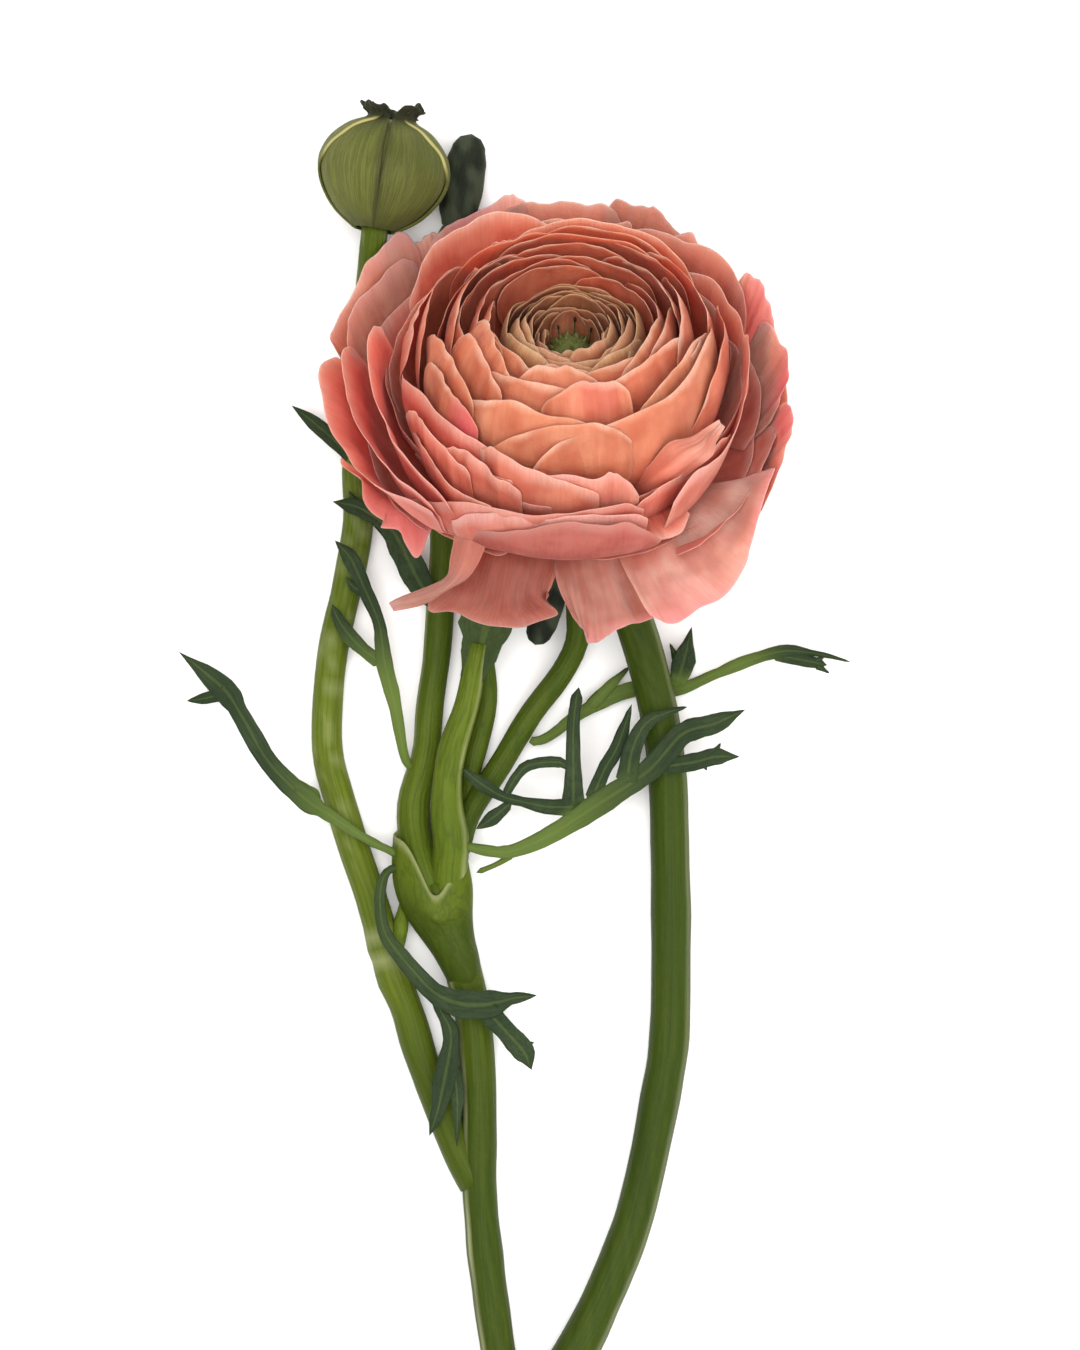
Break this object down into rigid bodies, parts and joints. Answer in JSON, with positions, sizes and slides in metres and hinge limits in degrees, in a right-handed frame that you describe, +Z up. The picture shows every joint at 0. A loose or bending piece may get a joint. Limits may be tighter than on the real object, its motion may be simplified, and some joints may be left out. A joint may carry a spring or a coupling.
{
  "type": "ranunculus flower",
  "caption": "Cut ranunculus lying down: an open salmon bloom of nested petals, with a round green bud, small side buds, branching stems and deeply cut leaves.",
  "frame": {"origin": "middle of the footprint of the lying flower, on the surface it lies on", "axes": "+Z up, away from the surface; +Y from the cut end of the stem towards the buds; +X to the right seen from above"},
  "size_m": [0.1222, 0.273, 0.0594],
  "materials": {
    "flower_centre": "matte, fine grained",
    "heart_petals": "soft matte petal",
    "ball_petals": "soft petal with fine veins",
    "open_petals": "soft petal with pinker margin",
    "bloom_sepals": "matte, downy",
    "stems": "smooth, slightly waxy",
    "shoots": "smooth, slightly waxy",
    "bud": "matte, downy",
    "dark_buds": "matte, downy",
    "leaves": "matte leaf"
  },
  "bodies": {
    "root": {"flower_centre": "flower_centre", "heart_petals": "heart_petals", "ball_petal_01": "ball_petals", "ball_petal_02": "ball_petals", "ball_petal_03": "ball_petals", "ball_petal_04": "ball_petals", "ball_petal_05": "ball_petals", "ball_petal_06": "ball_petals", "ball_petal_07": "ball_petals", "ball_petal_08": "ball_petals", "ball_petal_09": "ball_petals", "ball_petal_10": "ball_petals", "open_petal_01": "open_petals", "open_petal_02": "open_petals", "open_petal_03": "open_petals", "open_petal_04": "open_petals", "open_petal_05": "open_petals", "open_petal_06": "open_petals", "open_petal_07": "open_petals", "open_petal_08": "open_petals", "open_petal_09": "open_petals", "open_petal_10": "open_petals", "open_petal_11": "open_petals", "open_petal_12": "open_petals", "open_petal_13": "open_petals", "open_petal_14": "open_petals", "open_petal_15": "open_petals", "open_petal_16": "open_petals", "open_petal_17": "open_petals", "open_petal_18": "open_petals", "open_petal_19": "open_petals", "bloom_sepal_1": "bloom_sepals", "bloom_sepal_2": "bloom_sepals", "bloom_sepal_3": "bloom_sepals", "bloom_sepal_4": "bloom_sepals", "bloom_sepal_5": "bloom_sepals", "bloom_stem": "stems", "branch_stem": "stems", "bud_stem": "stems", "left_shoot": "shoots", "right_shoot": "shoots", "cross_shoot": "shoots", "back_shoot": "shoots", "node_shoot": "shoots", "bud_body": "bud", "bud_sepal_front_left": "bud", "bud_sepal_front_right": "bud", "bud_sepal_back": "bud", "bud_sepal_left": "bud", "bud_sepal_right": "bud", "small_bud": "dark_buds", "nodding_bud": "dark_buds", "compound_leaf": "leaves", "thin_leaf": "leaves", "left_leaf": "leaves", "forked_leaf": "leaves", "narrow_leaf": "leaves", "dark_bract": "leaves", "lower_leaf": "leaves", "shoot_bract": "leaves"}
  },
  "joints": []
}
